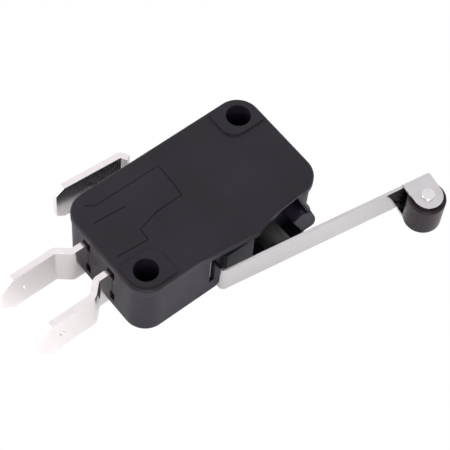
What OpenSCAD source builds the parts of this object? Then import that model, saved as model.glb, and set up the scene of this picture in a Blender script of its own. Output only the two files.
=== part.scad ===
// Snap-action lever micro switch with a roller, quick-connect tabs and two mounting holes.
// Millimetres. Origin: axis of the mounting hole beside the two end tabs, on the back face.
// +X runs towards the roller end, +Y away from the lever, +Z out of the cover.

/* [Case] */
// Length of the case, from the tab end to the far end
case_l = 27.8; // [27.4:0.1:28.4]
// Height of the case, from the lever side to the common-tab side
case_w = 15.9; // [15.7:0.1:16.2]
// Thickness of the case, without the raised pads
case_t = 10; // [9.8:0.1:10.4]
// Height of the raised pads round the mounting holes
pad_h = 0.3; // [0.2:0.05:0.5]
// Corner radius of the case seen from the front
corner_r = 3; // [2.6:0.1:3.2]
// Thickness of the cover
cover_t = 1.2; // [1:0.1:1.3]
// Radius of the small rounding on the outer edges
edge_r = 0.35; // [0.2:0.05:0.5]

/* [Mounting] */
// Diameter of the mounting holes
hole_d = 3.1; // [3:0.05:3.2]
// Distance of each mounting hole from its two nearest sides
hole_inset = 2.8; // [2.7:0.05:2.9]

/* [Tabs] */
// Width of the quick-connect tabs
tab_w = 6.35; // [6.1:0.05:6.4]
// Thickness of the tab metal
tab_t = 0.8; // [0.6:0.05:0.8]
// Reach of the two end tabs beyond the case
tab_reach = 11.4; // [10:0.1:12]

/* [Lever] */
// Width of the lever strip
lever_w = 4.4; // [4.2:0.1:4.6]
// Thickness of the lever metal
lever_t = 0.4; // [0.3:0.05:0.4]
// Angle between the lever at rest and the case
lever_rest = 9.3; // [9:0.1:9.6]
// Distance from the hinge to the roller pin, along the lever
lever_l = 27.6; // [27:0.1:30]

/* [Roller] */
// Diameter of the roller
roller_d = 4.8; // [4.6:0.1:4.8]
// Width of the roller
roller_w = 4.8; // [4.4:0.1:4.9]
// Diameter of the roller pin
pin_d = 1.2; // [1:0.05:1.3]

/* [Hidden] */
$fn = 64;
mid = case_t / 2;
tub_t = case_t - cover_t;
bore_r = hole_d / 2;
hole_ax = hole_inset;
hole_ay = hole_inset;
hole_bx = case_l - hole_inset;
hole_by = case_w - hole_inset;
// the tub stands a little inside the cover's outline, most at the far end
tub_in = 0.12;
tub_far = 0.4;
wall = 1.2;
front_wall = 2.6;
bay_y = 1.6;
// hinge of the lever
hinge_x = 11;
hinge_y = 0.9;
bead_r = 0.5;
hinge_fit = 0.06;
lever_off = 2.24;
ear_gap = 0.1;
ear_in = roller_w / 2 + ear_gap;
ear_r = 1.9;
roller_off = 5.21;
pin_fit = 0.05;
// plunger
plunger_x = 19.55;
plunger_w = 2.6;
plunger_h = 4.2;
plunger_in = 3.9;
guide_fit = 0.08;
// terminals, by the height of their roots on the case
nc_y = 6.2;
no_y = 10.95;
nc_bend = -1.55;
no_bend = 1.35;
// contacts and contact arm
contact_x = 4.7;
contact_r = 1.3;
nc_face = 7.3;
no_face = 9.8;
arm_t = 0.3;
fulcrum_x = 17.2;
fulcrum_y = 9;
arm_tilt = 3.3;
arm_half = 2.6;
// rocker between plunger and spring
rock_x = 23.6;
rock_y = 4.9;
rock_pin_r = 0.8;
rock_fit = 0.05;
hook_x = 19.2;
hook_y = 8.2;
spring_x = 8.6;
spring_r = 0.95;
wire_r = 0.16;

// Points of an arc
function arc(cx, cy, r, a0, a1, n) =
    [for (i = [0 : n]) [cx + r * cos(a0 + (a1 - a0) * i / n), cy + r * sin(a0 + (a1 - a0) * i / n)]];

// Section of a slab with its lower and upper edges rounded by e0 and e1
function section(a0, a1, z0, z1, e0, e1) = concat(
    e0 > 0 ? arc(a0 + e0, z0 + e0, e0, 180, 270, 3) : [[a0, z0]],
    e0 > 0 ? arc(a1 - e0, z0 + e0, e0, 270, 360, 3) : [[a1, z0]],
    e1 > 0 ? arc(a1 - e1, z1 - e1, e1, 0, 90, 3) : [[a1, z1]],
    e1 > 0 ? arc(a0 + e1, z1 - e1, e1, 90, 180, 3) : [[a0, z1]]
);

// Half of the same section, from the axis out to r, for the corners
function half_section(r, z0, z1, e0, e1) = concat(
    [[0, z0]],
    e0 > 0 ? arc(r - e0, z0 + e0, e0, 270, 360, 3) : [[r, z0]],
    e1 > 0 ? arc(r - e1, z1 - e1, e1, 0, 90, 3) : [[r, z1]],
    [[0, z1]]
);

// Puts the case's own corner frame on the part's origin
module placed() {
    translate([-hole_ax, -hole_ay, 0]) children();
}

// Rounded-corner slab with true corner arcs and rounded rims
module soft_slab(x0, y0, x1, y1, z0, z1, r, e0, e1) {
    translate([x0 + r, 0, 0])
        rotate([90, 0, 90])
            linear_extrude(x1 - x0 - 2 * r) polygon(section(y0, y1, z0, z1, e0, e1));
    translate([0, y1 - r, 0])
        rotate([90, 0, 0])
            linear_extrude(y1 - y0 - 2 * r) polygon(section(x0, x1, z0, z1, e0, e1));
    for (x = [x0 + r, x1 - r])
        for (y = [y0 + r, y1 - r])
            translate([x, y, 0])
                rotate_extrude() polygon(half_section(r, z0, z1, e0, e1));
}

// Flat outline with four separate corner radii
module outline(x0, y0, x1, y1, r00, r10, r11, r01) {
    polygon(concat(
        arc(x0 + r00, y0 + r00, r00, 180, 270, 8),
        arc(x1 - r10, y0 + r10, r10, 270, 360, 8),
        arc(x1 - r11, y1 - r11, r11, 0, 90, 8),
        arc(x0 + r01, y1 - r01, r01, 90, 180, 8)
    ));
}

// Solid between two heights
module between(z0, z1) {
    translate([0, 0, z0]) linear_extrude(z1 - z0) children();
}

// Prism whose outline is drawn on the lever side (x across, z up), from y0 to y1
module on_front(y0, y1) {
    translate([0, y1, 0]) rotate([90, 0, 0]) linear_extrude(y1 - y0) children();
}

function unit(v) = v / norm(v);
function left(v) = [-v[1], v[0]];

// Points of a bend of radius r at corner b, between the legs to a and c
function bend(a, b, c, r, n) =
    let (
        u = unit(a - b),
        v = unit(c - b),
        half = acos(u * v) / 2,
        m = b + unit(u + v) * r / sin(half),
        s = b + u * r / tan(half) - m,
        e = b + v * r / tan(half) - m,
        a0 = atan2(s[1], s[0]),
        turn = (atan2(e[1], e[0]) - a0 + 540) % 360 - 180
    )
    arc(m[0], m[1], r, a0, a0 + turn, n);

// Path with each inner corner bent to radius r
function bent(p, r, n) = concat(
    [p[0]],
    [for (i = [1 : len(p) - 2]) each bend(p[i - 1], p[i], p[i + 1], r, n)],
    [p[len(p) - 1]]
);

// Point i of a path, moved sideways by d
function beside(p, i, d) =
    i == 0 ? p[0] + d * left(unit(p[1] - p[0])) :
    i == len(p) - 1 ? p[i] + d * left(unit(p[i] - p[i - 1])) :
    let (
        n1 = left(unit(p[i] - p[i - 1])),
        m = unit(n1 + left(unit(p[i + 1] - p[i])))
    )
    p[i] + m * d / (m * n1);

// Sheet-metal run in plan: a path bent to mean radius r, in metal of thickness t
module bent_run(p, t, r = 0.8) {
    q = bent(p, r, 5);
    l = len(q) - 1;
    polygon(concat(
        [for (i = [0 : l]) beside(q, i, -t / 2)],
        [for (i = [0 : l]) beside(q, l - i, t / 2)]
    ));
}

// Raised pad of one mounting hole
module hole_pad() {
    i = edge_r + 0.1;
    between(case_t - 0.2, case_t + pad_h)
        outline(i, i, 2 * hole_inset + 0.1, 2 * hole_inset - 0.55, corner_r - i, 0.4, 1.9, 0.4);
}

// Recess in the lever side that leaves the plunger free
module plunger_bay() {
    polygon([[16.7, 0.9], [25.4, 0.9], [25.4, 4.9], [23.6, case_t - 0.5], [20.8, case_t - 0.6],
        [19.4, 8.2], [18.7, 7.4], [16.7, 7.8]]);
}

module case_tub() {
    color("#3a383f") placed() difference() {
        union() {
            soft_slab(tub_in, tub_in, case_l - tub_far, case_w - tub_in, 0, tub_t, corner_r - tub_in, edge_r, 0);
            // guard beside the hinge
            between(0.9, 7.7)
                polygon([[12.2, 1], [12.2, -0.3], [12.5, -0.5], [16.7, -0.5], [16.7, 1]]);
            // stop block at the far end
            intersection() {
                on_front(-0.7, 2) polygon([[22.8, 4.6], [23.9, 6.2], [25.2, 5.4], [27.1, 2.8], [27.1, 0.6], [23.2, 0.6]]);
                between(0, tub_t) outline(18, -0.7, case_l - tub_far - 0.1, 6, 0.5, corner_r - 0.3, 0.5, 0.5);
            }
        }
        // room for the works, clear of the two hole posts
        difference() {
            between(wall, case_t)
                outline(wall, front_wall, case_l - tub_far - wall, case_w - wall, 0.6, 0.6, 0.6, 0.6);
            translate([hole_ax, hole_ay, 0]) cylinder(r = bore_r + 1.1, h = case_t);
            translate([hole_bx, hole_by, 0]) cylinder(r = bore_r + 1.1, h = case_t);
            translate([hole_bx, hole_by - 1.5, 0]) cube([5, 5, case_t]);
        }
        translate([hole_ax, hole_ay, -1]) cylinder(r = bore_r, h = case_t + 2);
        translate([hole_bx, hole_by, -1]) cylinder(r = bore_r, h = case_t + 2);
        on_front(-2, bay_y) plunger_bay();
        // plunger guide
        on_front(-1, front_wall + 1) stadium(plunger_w + 2 * guide_fit, plunger_h + 2 * guide_fit);
        // groove under the cover beside the hinge
        between(7.7, case_t) polygon([[12.2, 0.7], [12.2, -2], [16.9, -2], [16.9, 0.7]]);
        // hinge pocket and its mouth
        translate([hinge_x, hinge_y, mid - lever_w / 2 - 0.3])
            cylinder(r = bead_r + hinge_fit, h = case_t);
        between(mid - lever_w / 2 - 0.3, case_t)
            polygon([[10.45, -1], [12, -1], [12, 0.2], [11.35, hinge_y - 0.28], [10.65, hinge_y - 0.28], [10.45, 0.2]]);
        // slots for the end tabs, open to the cover and relieved beside the metal
        for (y = [nc_y, no_y])
            between(mid - tab_w / 2 - 0.05, case_t)
                translate([-1, y - tab_t / 2 - 0.05]) square([wall + 2, tab_t + 0.1]);
        for (y = [nc_y, no_y])
            for (z = [mid - tab_w / 2 - 0.3, mid + tab_w / 2 - 1.5])
                between(z, z + 1.8)
                    translate([-1, y - tab_t / 2 - 0.45]) square([1.6, tab_t]);
        // slot for the common terminal
        between(2.3, 5.5) translate([10.85, case_w - wall - 0.5]) square([0.9, wall + 1]);
    }
    // hinge post of the rocker
    color("#3a383f") placed()
        translate([rock_x, rock_y, wall - 0.2]) cylinder(r = rock_pin_r, h = 7.2 - wall + 0.2);
}

module cover() {
    color("#37353c") placed() difference() {
        union() {
            soft_slab(0, 0, case_l, case_w, tub_t, case_t, corner_r, 0, edge_r);
            // brow over the hinge and the plunger
            between(tub_t, case_t - 0.1)
                polygon([[8.6, 0.2], [8.6, 0], [10.1, -0.3], [13.2, -0.62], [16.6, -1.05], [17.2, -1],
                    [18.4, -0.5], [20, -0.3], [24.4, 0], [24.4, 0.2]]);
            hole_pad();
            translate([case_l, case_w, 0]) rotate([0, 0, 180]) hole_pad();
        }
        translate([hole_ax, hole_ay, 0]) cylinder(r = bore_r, h = case_t + 2);
        translate([hole_bx, hole_by, 0]) cylinder(r = bore_r, h = case_t + 2);
        on_front(-2, 0.9) plunger_bay();
    }
}

// Oblong drawn on the lever side, centred on the plunger
module stadium(w, h) {
    for (s = [-1, 1]) translate([plunger_x, mid + s * (h - w) / 2]) circle(w / 2);
    translate([plunger_x - w / 2, mid - (h - w) / 2]) square([w, h - w]);
}

// Chamfers and dimple of a tab that ends at x = -reach, seen from its broad side
module tab_tip(reach) {
    for (s = [0, 1]) translate([-reach, 0, mid]) mirror([0, 0, s])
        on_front(-30, 30)
            polygon([[-0.1, tab_w / 2 + 1], [-0.1, tab_w / 2 - 1.5], [0, tab_w / 2 - 1.5], [1.7, tab_w / 2], [1.7, tab_w / 2 + 1]]);
}

// End tab with a joggle of dy; dent faces the lever side
module end_tab(y, dy) {
    difference() {
        between(mid - tab_w / 2, mid + tab_w / 2)
            bent_run([[6.3, y], [-1.9, y], [-3.5, y + dy], [-tab_reach, y + dy]], tab_t);
        tab_tip(tab_reach);
        translate([-8.3, y + dy - tab_t / 2 + 0.2, mid]) rotate([90, 0, 0]) cylinder(d = 0.8, h = 1);
        // inside the case the metal is narrower than the tab
        for (s = [0, 1]) translate([0, 0, mid]) mirror([0, 0, s])
            translate([wall + 0.3, y - 1, 2.7]) cube([6, 2, 3]);
        translate([contact_x, y - 2, mid]) rotate([-90, 0, 0]) cylinder(r = 0.6, h = 4);
    }
}

module nc_terminal() {
    color("#d9d4cf") placed() end_tab(nc_y, nc_bend);
}

module no_terminal() {
    color("#d9d4cf") placed() end_tab(no_y, no_bend);
}

// Riveted contact button, head from y = 0 upwards, shank below
module contact_button(h) {
    rotate([-90, 0, 0]) cylinder(r = contact_r, h = h);
    rotate([90, 0, 0]) cylinder(r = 0.6, h = tab_t);
    translate([0, -tab_t, 0]) rotate([90, 0, 0]) cylinder(r = 0.95, h = 0.25);
}

module nc_contact() {
    color("silver") placed()
        translate([contact_x, nc_y + tab_t / 2, mid]) contact_button(nc_face - nc_y - tab_t / 2);
}

module no_contact() {
    color("silver") placed()
        translate([contact_x, no_y - tab_t / 2, mid]) mirror([0, 1, 0]) contact_button(no_y - tab_t / 2 - no_face);
}

module common_terminal() {
    color("#cfc8b8") placed() {
        // blade outside the case
        difference() {
            between(mid - tab_w / 2, mid + tab_w / 2)
                bent_run([[1.3, 18.95], [10.75, 18.3], [11.3, 17.35]], tab_t, 0.6);
            for (s = [0, 1]) translate([0, 0, mid]) mirror([0, 0, s])
                on_front(15, 21)
                    polygon([[1.2, tab_w / 2 + 1], [1.2, tab_w / 2 - 1], [2.4, tab_w / 2 + 0.01], [2.4, tab_w / 2 + 1]]);
        }
        // leg through the wall and run to the fulcrum
        between(2.4, 5.4) bent_run([[10.9, 18.05], [11.3, 17.35], [11.3, 13.3], [12.5, 13.3]], tab_t, 0.5);
        difference() {
            between(mid - arm_half, mid + arm_half)
                bent_run([[11.9, 13.3], [fulcrum_x + 0.1 + tab_t / 2, 13.3], [fulcrum_x + 0.1 + tab_t / 2, fulcrum_y - 0.8]], tab_t);
            // window that lets the spring pass
            between(mid - 1.4, mid + 1.4) translate([fulcrum_x - 1, 5]) square([3, 6.2]);
            // groove of the knife edge
            between(0, case_t)
                polygon([[fulcrum_x, fulcrum_y - 0.3], [fulcrum_x + 0.3, fulcrum_y], [fulcrum_x, fulcrum_y + 0.3]]);
        }
    }
}

// Contact arm lying along -x from its knife edge at the origin
module arm_blank() {
    difference() {
        between(-arm_half, arm_half)
            translate([-14.2, -arm_t / 2]) square([14.2, arm_t]);
        // window for the spring, with a hook at its outer end
        between(-1.4, 1.4) translate([-8, -1]) square([9, 2]);
        between(-1.4, -0.7) translate([-9.3, -1]) square([2, 2]);
        between(0.7, 1.4) translate([-9.3, -1]) square([2, 2]);
        translate([contact_x - fulcrum_x, -1, 0]) rotate([-90, 0, 0]) cylinder(r = 0.6, h = 2);
        translate([-8.65, -1, 0]) rotate([-90, 0, 0]) cylinder(r = 0.3, h = 2);
    }
}

module on_arm() {
    translate([fulcrum_x, fulcrum_y, mid]) rotate([0, 0, arm_tilt]) children();
}

module contact_arm() {
    color("#b87333") placed() on_arm() arm_blank();
}

module moving_contact() {
    color("silver") placed() on_arm()
        translate([contact_x - fulcrum_x, 0, 0]) {
            rotate([-90, 0, 0]) translate([0, 0, -arm_t / 2]) cylinder(r = 0.6, h = arm_t);
            for (s = [0, 1]) mirror([0, s, 0])
                translate([0, arm_t / 2, 0]) rotate([-90, 0, 0]) cylinder(r = contact_r - 0.1, h = 0.7);
        }
}

// Coil spring as a stack of wire rings along +x with a hooked leg at each end
module coil(l, n) {
    for (i = [0 : n - 1])
        translate([l * (i + 0.5) / n, 0, 0]) rotate([0, 90, 0])
            rotate_extrude($fn = 32) translate([spring_r, 0]) circle(wire_r, $fn = 16);
    // the rings are joined by a straight back wire on each side
    for (a = [0, 180])
        rotate([a, 0, 0]) translate([0, 0, spring_r]) rotate([0, 90, 0]) cylinder(r = wire_r * 0.9, h = l, $fn = 16);
    for (x = [0, l])
        translate([x, 0, 0]) cylinder(r = wire_r, h = 2 * spring_r, center = true, $fn = 16);
}

module snap_spring() {
    dx = hook_x - 1.1 - spring_x - 0.9;
    dy = hook_y - (fulcrum_y - (fulcrum_x - spring_x) * sin(arm_tilt));
    color("lightgray") placed()
        translate([spring_x + 0.9, hook_y - dy * 0.92, mid])
            rotate([0, 0, atan2(dy * 0.85, dx)]) coil(dx, 16);
}

module rocker() {
    color("#8f8a80") placed() difference() {
        union() {
            // hub
            translate([rock_x, rock_y, 2.2]) cylinder(r = 1.6, h = 4.8);
            // arm under the plunger and up to the hook
            between(3.6, 6.4)
                polygon([[rock_x, rock_y - 0.5], [rock_x, rock_y + 1.2], [hook_x + 1.2, hook_y + 0.9],
                    [hook_x - 0.3, hook_y + 0.7], [hook_x - 0.3, hook_y - 0.6], [plunger_x - 1, plunger_in + 1.4],
                    [plunger_x - 1, plunger_in + 0.25], [plunger_x + 0.35, plunger_in + 0.25],
                    [plunger_x + 1.35, plunger_in + 0.75]]);
        }
        translate([rock_x, rock_y, 0]) cylinder(r = rock_pin_r + rock_fit, h = case_t);
        // notch of the spring's eye
        between(mid - 0.4, mid + 0.4) translate([hook_x - 1.3, hook_y - 0.4]) square([1.9, 2]);
    }
}

module plunger() {
    color("#4a484c") placed()
        difference() {
            on_front(-2.7, plunger_in) stadium(plunger_w, plunger_h);
            // the nose slopes with the lever
            between(0, case_t)
                polygon([[plunger_x - 3, -4], [plunger_x - 3, -2.02], [plunger_x, lever_face(plunger_x) + 0.08],
                    [plunger_x + 3, lever_face(plunger_x + 3) + 0.08], [plunger_x + 3, -4]]);
        }
}

// Height of the lever's inner face over the case, at distance x from the tab end
function lever_face(x) =
    hinge_y - lever_off / cos(lever_rest) - (x - hinge_x) * tan(lever_rest);

// Puts children drawn along the lever, hinge at the origin, in the rest position
module on_lever() {
    translate([hinge_x, hinge_y, 0]) rotate([0, 0, -lever_rest]) children();
}

module lever() {
    color("#c8c8c6") placed() on_lever() {
        v = -lever_off - lever_t / 2;
        // hinge bead, tail and strip
        between(mid - lever_w / 2, mid + lever_w / 2) {
            circle(bead_r);
            bent_run([[0, 0], [0.5, v], [lever_l - ear_r + 0.3, v]], lever_t, 0.5);
        }
        // fork: web with rounded folds, then the two ears
        difference() {
            fork_block();
            between(mid - ear_in, mid + ear_in)
                translate([lever_l - ear_r - 1, -roller_off - 5]) square([8, 5 + roller_off - lever_off - lever_t]);
            translate([lever_l, -roller_off, -1]) cylinder(r = pin_d / 2, h = case_t + 2);
        }
    }
}

// Fork block before it is hollowed for the roller
module fork_block() {
    o = ear_in + lever_t;
    intersection() {
        between(mid - o, mid + o) {
            translate([lever_l, -roller_off]) circle(ear_r);
            translate([lever_l - ear_r, -roller_off]) square([2 * ear_r, roller_off - lever_off]);
        }
        translate([lever_l - ear_r - 1, 0, 0]) rotate([90, 0, 90])
            linear_extrude(2 * ear_r + 2)
                polygon(concat(
                    [[-roller_off - 3, mid - o]],
                    arc(-lever_off - 0.7, mid - o + 0.7, 0.7, 270, 360, 4),
                    arc(-lever_off - 0.7, mid + o - 0.7, 0.7, 0, 90, 4),
                    [[-roller_off - 3, mid + o]]
                ));
    }
}

module roller() {
    color("#2b262e") placed() on_lever()
        translate([lever_l, -roller_off, mid]) difference() {
            rotate_extrude()
                polygon(half_section(roller_d / 2, -roller_w / 2, roller_w / 2, 0.25, 0.25));
            cylinder(r = pin_d / 2 + pin_fit, h = roller_w + 2, center = true);
        }
}

module roller_pin() {
    color("#d6d6d4") placed() on_lever()
        translate([lever_l, -roller_off, mid]) {
            h = ear_in + lever_t;
            cylinder(r = pin_d / 2, h = 2 * h, center = true);
            for (s = [0, 1]) mirror([0, 0, s])
                translate([0, 0, h]) rotate_extrude()
                    polygon(half_section(0.85, 0, 0.3, 0, 0.15));
        }
}

case_tub();
cover();
common_terminal();
nc_terminal();
no_terminal();
nc_contact();
no_contact();
contact_arm();
moving_contact();
snap_spring();
rocker();
plunger();
lever();
roller();
roller_pin();
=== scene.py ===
"""Looks of the lever micro switch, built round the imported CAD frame.

Materials for every CAD node, the moulded contact diagram, the stop block in
the bay, the camera, and the floor and light.
"""

import bmesh
import bpy
from mathutils import Matrix, Vector


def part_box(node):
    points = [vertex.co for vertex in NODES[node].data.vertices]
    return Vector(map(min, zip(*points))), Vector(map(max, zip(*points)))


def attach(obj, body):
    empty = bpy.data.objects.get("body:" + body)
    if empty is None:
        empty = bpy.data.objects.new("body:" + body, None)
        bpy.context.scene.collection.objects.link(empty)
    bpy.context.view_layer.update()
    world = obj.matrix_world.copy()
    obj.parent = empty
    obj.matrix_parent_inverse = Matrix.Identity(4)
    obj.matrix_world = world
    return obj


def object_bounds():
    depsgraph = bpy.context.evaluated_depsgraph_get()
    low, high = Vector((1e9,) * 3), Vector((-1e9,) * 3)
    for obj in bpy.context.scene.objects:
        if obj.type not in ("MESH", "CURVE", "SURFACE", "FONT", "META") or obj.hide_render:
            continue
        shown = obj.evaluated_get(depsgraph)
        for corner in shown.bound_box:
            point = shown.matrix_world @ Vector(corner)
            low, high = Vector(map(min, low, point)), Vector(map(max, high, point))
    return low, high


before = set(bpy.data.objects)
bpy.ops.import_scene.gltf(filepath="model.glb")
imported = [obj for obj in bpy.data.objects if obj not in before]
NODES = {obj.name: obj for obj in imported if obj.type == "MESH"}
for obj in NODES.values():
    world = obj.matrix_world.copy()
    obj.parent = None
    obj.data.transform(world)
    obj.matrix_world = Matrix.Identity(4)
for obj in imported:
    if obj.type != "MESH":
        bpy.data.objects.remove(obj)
CAD_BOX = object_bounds()
MM = 0.001
BUMP_DEPTH = 0.01 * MM


# ---------------------------------------------------------------- materials

class Mat:
    """A Principled material (m) with its node tree (t), shader (b) and
    texture coordinates (co), and short calls for procedural inputs."""

    def __init__(self, name):
        self.m = bpy.data.materials.new(name)
        self.m.use_nodes = True
        self.t = self.m.node_tree
        self.b = self.t.nodes["Principled BSDF"]
        self.co = self.t.nodes.new("ShaderNodeTexCoord")

    def new(self, kind):
        return self.t.nodes.new(kind)

    def link(self, a, b):
        self.t.links.new(a, b)

    def set(self, **values):
        for k, v in values.items():
            self.b.inputs[k.replace("_", " ")].default_value = v

    def noise(self, scale, detail=3.0, rough=0.5, stretch=(1, 1, 1)):
        mp = self.new("ShaderNodeMapping")
        mp.inputs["Scale"].default_value = stretch
        n = self.new("ShaderNodeTexNoise")
        n.inputs["Scale"].default_value = scale
        n.inputs["Detail"].default_value = detail
        n.inputs["Roughness"].default_value = rough
        self.link(self.co.outputs["Object"], mp.inputs["Vector"])
        self.link(mp.outputs["Vector"], n.inputs["Vector"])
        return n.outputs["Fac"]

    def ramp(self, fac, stops):
        r = self.new("ShaderNodeValToRGB")
        e = r.color_ramp.elements
        while len(e) < len(stops):
            e.new(0.5)
        for i, (p, c) in enumerate(stops):
            e[i].position = p
            e[i].color = (*c, 1)
        self.link(fac, r.inputs["Fac"])
        return r.outputs["Color"]

    def remap(self, fac, lo, hi):
        r = self.new("ShaderNodeMapRange")
        r.inputs["To Min"].default_value = lo
        r.inputs["To Max"].default_value = hi
        self.link(fac, r.inputs["Value"])
        return r.outputs["Result"]

    def bump(self, fac, strength, radius):
        b = self.new("ShaderNodeBump")
        b.inputs["Strength"].default_value = strength
        b.inputs["Distance"].default_value = BUMP_DEPTH
        self.link(fac, b.inputs["Height"])
        bev = self.new("ShaderNodeBevel")
        bev.samples = 4
        bev.inputs["Radius"].default_value = radius
        self.link(bev.outputs["Normal"], b.inputs["Normal"])
        self.link(b.outputs["Normal"], self.b.inputs["Normal"])


def moulded(name, dark, light, rough,
            grain=0.25, radius=0.12 * MM, shine=0.3):
    """Moulded resin: faint mottling, fine spark-eroded grain, softened edges."""
    m = Mat(name)
    cloud = m.noise(120, 3, 0.55)
    m.link(m.ramp(cloud, [(0.3, dark), (0.7, light)]), m.b.inputs["Base Color"])
    m.link(m.remap(m.noise(400, 2), rough - 0.06, rough + 0.06),
           m.b.inputs["Roughness"])
    m.set(Specular_IOR_Level=shine)
    m.bump(m.noise(9000, 2, 0.6), grain, radius)
    return m


def sheet_metal(name, dark, light, rough, stretch=(1, 1, 1),
                radius=0.06 * MM, brushed=0.12, scale=900):
    """Rolled sheet: fine lines along the grain, soft patches, bright edges."""
    m = Mat(name)
    lines = m.noise(scale, 3, 0.6, stretch)
    m.link(m.ramp(lines, [(0.25, dark), (0.75, light)]), m.b.inputs["Base Color"])
    m.link(m.remap(m.noise(300, 2), rough - 0.05, rough + 0.07),
           m.b.inputs["Roughness"])
    m.set(Metallic=1.0)
    m.bump(lines, brushed, radius)
    return m


def paint(node, mat):
    """Gives a CAD node its material, in every slot it has."""
    o = NODES[node]
    if not o.data.materials:
        o.data.materials.append(mat.m)
    for i in range(len(o.data.materials)):
        o.data.materials[i] = mat.m


case_mat = moulded("case_resin", (0.0105, 0.0085, 0.0165),
                   (0.017, 0.0135, 0.0245), 0.36, shine=0.17)
cover_mat = moulded("cover_resin", (0.011, 0.009, 0.014),
                    (0.018, 0.0145, 0.0215), 0.42, shine=0.24)
plunger_mat = moulded("plunger_resin", (0.020, 0.020, 0.020),
                      (0.028, 0.028, 0.027), 0.4)
rocker_mat = moulded("rocker_resin", (0.20, 0.19, 0.17),
                     (0.26, 0.24, 0.21), 0.5)
roller_mat = moulded("roller_resin", (0.010, 0.006, 0.009),
                     (0.017, 0.010, 0.015), 0.28,
                     grain=0.15, radius=0.1 * MM, shine=0.2)
tab_mat = sheet_metal("tab_metal", (0.84, 0.805, 0.80),
                      (0.93, 0.895, 0.885), 0.16, (1, 1, 8), brushed=0.08)
lever_mat = sheet_metal("lever_steel", (0.60, 0.585, 0.59),
                        (0.69, 0.675, 0.68), 0.13, (0.4, 0.4, 10))
pin_mat = sheet_metal("pin_steel", (0.72, 0.71, 0.71),
                      (0.84, 0.83, 0.82), 0.2, scale=2500)
silver_mat = sheet_metal("contact_silver", (0.78, 0.77, 0.74),
                         (0.9, 0.89, 0.86), 0.3)
copper_mat = sheet_metal("arm_copper", (0.62, 0.34, 0.20),
                         (0.75, 0.44, 0.28), 0.28, (0.4, 1, 6))
spring_mat = sheet_metal("spring_steel", (0.5, 0.5, 0.5),
                         (0.65, 0.65, 0.65), 0.25)

for node, mat in {
    "case_tub": case_mat, "cover": cover_mat, "plunger": plunger_mat,
    "rocker": rocker_mat, "roller": roller_mat,
    "common_terminal": tab_mat, "nc_terminal": tab_mat,
    "no_terminal": tab_mat, "lever": lever_mat, "roller_pin": pin_mat,
    "nc_contact": silver_mat, "no_contact": silver_mat,
    "moving_contact": silver_mat, "contact_arm": copper_mat,
    "snap_spring": spring_mat,
}.items():
    paint(node, mat)


# ---------------------------------------------------------------- contact diagram

CASE_W = 15.9 * MM      # width of the case
CASE_T = 10 * MM        # from the base to the cover's face
PAD_H = 0.3 * MM        # height of the pads round the mounting holes
MARK_W, MARK_H = 0.2, 0.03      # the diagram's lines, in millimetres

COVER_LO, COVER_HI = [Vector(v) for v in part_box("cover")]
CASE_X0 = COVER_LO.x
CASE_Y0 = COVER_HI.y - CASE_W
FACE_Z = COVER_HI.z - PAD_H
BASE_Z = FACE_Z - CASE_T


def on_cover(x, y, z):
    """A point x and y millimetres from the tab end and the lever side, and z
    millimetres above the cover's face."""
    return Vector((CASE_X0 + x * MM, CASE_Y0 + y * MM, FACE_Z + z * MM))


def ridge(name, path, mat):
    """A low moulded line of round section along a path on the cover."""
    c = bpy.data.curves.new(name, "CURVE")
    c.dimensions = "3D"
    c.bevel_depth = MARK_W * MM / 2
    c.bevel_resolution = 3
    s = c.splines.new("POLY")
    s.points.add(len(path) - 1)
    for p, (x, y) in zip(s.points, path):
        p.co = (*on_cover(x, y, MARK_H - MARK_W / 2), 1)
    o = bpy.data.objects.new(name, c)
    bpy.context.collection.objects.link(o)
    bpy.context.view_layer.objects.active = o
    o.select_set(True)
    bpy.ops.object.convert(target="MESH")
    o.select_set(False)
    o.data.materials.clear()
    o.data.materials.append(mat.m)
    for f in o.data.polygons:
        f.use_smooth = True
    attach(o, "case_body")


# painted shade: the diagram's ridges are coloured near black, darker than the cover resin,
# to stand for the shade along the moulded lines
mark_shade_mat = moulded("mark_painted_shade", (0.004, 0.003, 0.005),
                   (0.008, 0.006, 0.009), 0.7, shine=0.1)
for name, path in {
    "mark_common": [(2.3, 14.2), (3.4, 13.45), (12.75, 13.4),
                    (12.75, 11.0), (12.5, 8.45), (8.9, 8.45)],
    "mark_blade": [(8.9, 8.45), (5.7, 7.7), (5.6, 6.0)],
    "mark_closed": [(1.3, 6.35), (5.6, 6.0)],
    "mark_open": [(1.7, 11.6), (6.2, 11.25)],
}.items():
    ridge(name, path, mark_shade_mat)


# ---------------------------------------------------------------- stop block in the bay

def rounded(path, r, n=3):
    """The path's corners cut to short arcs of about radius r."""
    out = []
    for i, p in enumerate(path):
        a, p, b = Vector(path[i - 1]), Vector(p), Vector(path[(i + 1) % len(path)])
        u, v = (a - p).normalized(), (b - p).normalized()
        k = min(r, (a - p).length * 0.45, (b - p).length * 0.45)
        for j in range(n + 1):
            t = j / n
            out.append(((1 - t) ** 2) * (p + u * k) + 2 * t * (1 - t) * p
                       + (t ** 2) * (p + v * k))
    return out


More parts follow.
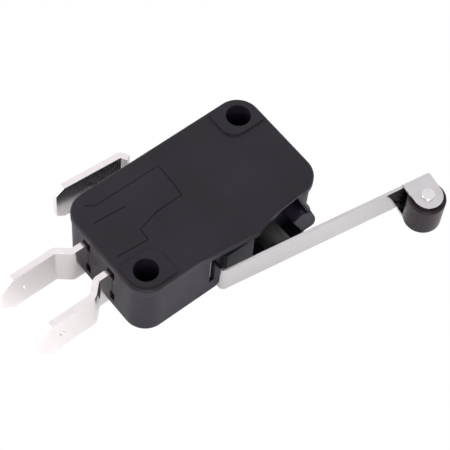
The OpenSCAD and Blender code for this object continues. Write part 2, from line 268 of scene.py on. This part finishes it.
def prism(name, path, y0, y1, mat, rim=0.12):
    """A block drawn on the lever side, x across and z up in millimetres,
    with a softened front edge."""
    ring = rounded([Vector(p) for p in path], 0.35)
    mid = sum(ring, Vector((0, 0))) / len(ring)
    rows = [(1, y1), (1, y0 + rim), (1 - rim / 3.5, y0 + rim * 0.3), (1 - rim / 2, y0)]
    bm = bmesh.new()
    loops = []
    for f, y in rows:
        row = [mid + (q - mid) * f for q in ring]
        loops.append([bm.verts.new((CASE_X0 + q.x * MM, CASE_Y0 + y * MM,
                                    BASE_Z + q.y * MM)) for q in row])
    n = len(ring)
    for a, b in zip(loops, loops[1:]):
        for i in range(n):
            bm.faces.new((a[i], a[(i + 1) % n], b[(i + 1) % n], b[i]))
    bm.faces.new(loops[-1])
    bm.faces.new(loops[0][::-1])
    bmesh.ops.recalc_face_normals(bm, faces=bm.faces)
    me = bpy.data.meshes.new(name)
    bm.to_mesh(me)
    bm.free()
    me.materials.append(mat.m)
    o = bpy.data.objects.new(name, me)
    bpy.context.collection.objects.link(o)
    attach(o, "case_body")


prism("stop_block",
      [(22.95, 4.9), (24.2, 5.6), (25.9, 4.8), (26.95, 2.2),
       (27.1, 1.2), (26.9, 0.5), (25, 0.5), (24.1, 2.5)],
      -0.6, 1.7, case_mat)


# ---------------------------------------------------------------- camera

# the view fitted to the outline and the holes in the photograph
RIGHT = Vector((0.777104, -0.626827, 0.056545))
DOWN = Vector((-0.521231, -0.691331, -0.50038))
AHEAD = Vector((0.352743, 0.359374, -0.863957))
cam_data = bpy.data.cameras.new("camera")
cam_data.lens = 132
cam_data.sensor_width = 36
cam_data.clip_start = 0.01
cam_data.clip_end = 10
cam = bpy.data.objects.new("camera", cam_data)
bpy.context.collection.objects.link(cam)
cam.location = (CASE_X0 - 54.875 * MM, CASE_Y0 - 68.100 * MM,
                FACE_Z + 168.768 * MM)
cam.rotation_mode = "QUATERNION"
axes = Matrix((RIGHT, -DOWN, -AHEAD)).transposed()
cam.rotation_quaternion = axes.to_quaternion()
bpy.context.scene.camera = cam


# ---------------------------------------------------------------- floor and light

def white_floor():
    """A large pale floor under the switch that reads as pure white to the camera."""
    bm = bmesh.new()
    bmesh.ops.create_grid(bm, x_segments=1, y_segments=1, size=2.0)
    me = bpy.data.meshes.new("floor")
    bm.to_mesh(me)
    bm.free()
    o = bpy.data.objects.new("floor", me)
    o.location = (0, 0, min(CAD_BOX[0].z, 0) - 0.02 * MM)
    bpy.context.collection.objects.link(o)
    m = bpy.data.materials.new("floor")
    m.use_nodes = True
    t = m.node_tree
    t.nodes.clear()
    out = t.nodes.new("ShaderNodeOutputMaterial")
    mix = t.nodes.new("ShaderNodeMixShader")
    path = t.nodes.new("ShaderNodeLightPath")
    glow = t.nodes.new("ShaderNodeEmission")
    glow.inputs["Color"].default_value = (1, 1, 1, 1)
    glow.inputs["Strength"].default_value = 1.0
    dif = t.nodes.new("ShaderNodeBsdfDiffuse")
    dif.inputs["Color"].default_value = (0.9, 0.9, 0.9, 1)
    t.links.new(path.outputs["Is Camera Ray"], mix.inputs["Fac"])
    t.links.new(dif.outputs["BSDF"], mix.inputs[1])
    t.links.new(glow.outputs["Emission"], mix.inputs[2])
    t.links.new(mix.outputs["Shader"], out.inputs["Surface"])
    me.materials.append(m)


white_floor()

world = bpy.data.worlds.new("studio")
bpy.context.scene.world = world
world.use_nodes = True
wt = world.node_tree
bg = wt.nodes["Background"]
bg.inputs["Strength"].default_value = 0.9
where = wt.nodes.new("ShaderNodeTexCoord")
split = wt.nodes.new("ShaderNodeSeparateXYZ")
sky = wt.nodes.new("ShaderNodeValToRGB")
sky.color_ramp.elements[0].position = 0.2
sky.color_ramp.elements[0].color = (1, 1, 1, 1)
sky.color_ramp.elements[1].position = 0.9
sky.color_ramp.elements[1].color = (1.08, 1.04, 1.08, 1)
wt.links.new(where.outputs["Generated"], split.inputs["Vector"])
wt.links.new(split.outputs["Z"], sky.inputs["Fac"])
wt.links.new(sky.outputs["Color"], bg.inputs["Color"])


AIM = Vector((0.015, 0, 0.005))     # near the middle of the switch


def area(name, place, size, power):
    """A square area light turned towards the switch."""
    d = bpy.data.lights.new(name, "AREA")
    d.shape = "SQUARE"
    d.size = size
    d.energy = power
    o = bpy.data.objects.new(name, d)
    bpy.context.collection.objects.link(o)
    o.location = place
    o.rotation_mode = "QUATERNION"
    o.rotation_quaternion = (AIM - Vector(place)).to_track_quat("-Z", "Y")


area("key", (-0.25, -0.4, 0.4), 0.3, 1.6)
area("fill", (-0.4, 0.3, 0.25), 0.35, 0.8)

scene = bpy.context.scene
scene.view_settings.view_transform = "Standard"
scene.view_settings.look = "None"
scene.view_settings.exposure = 0
scene.view_settings.gamma = 1
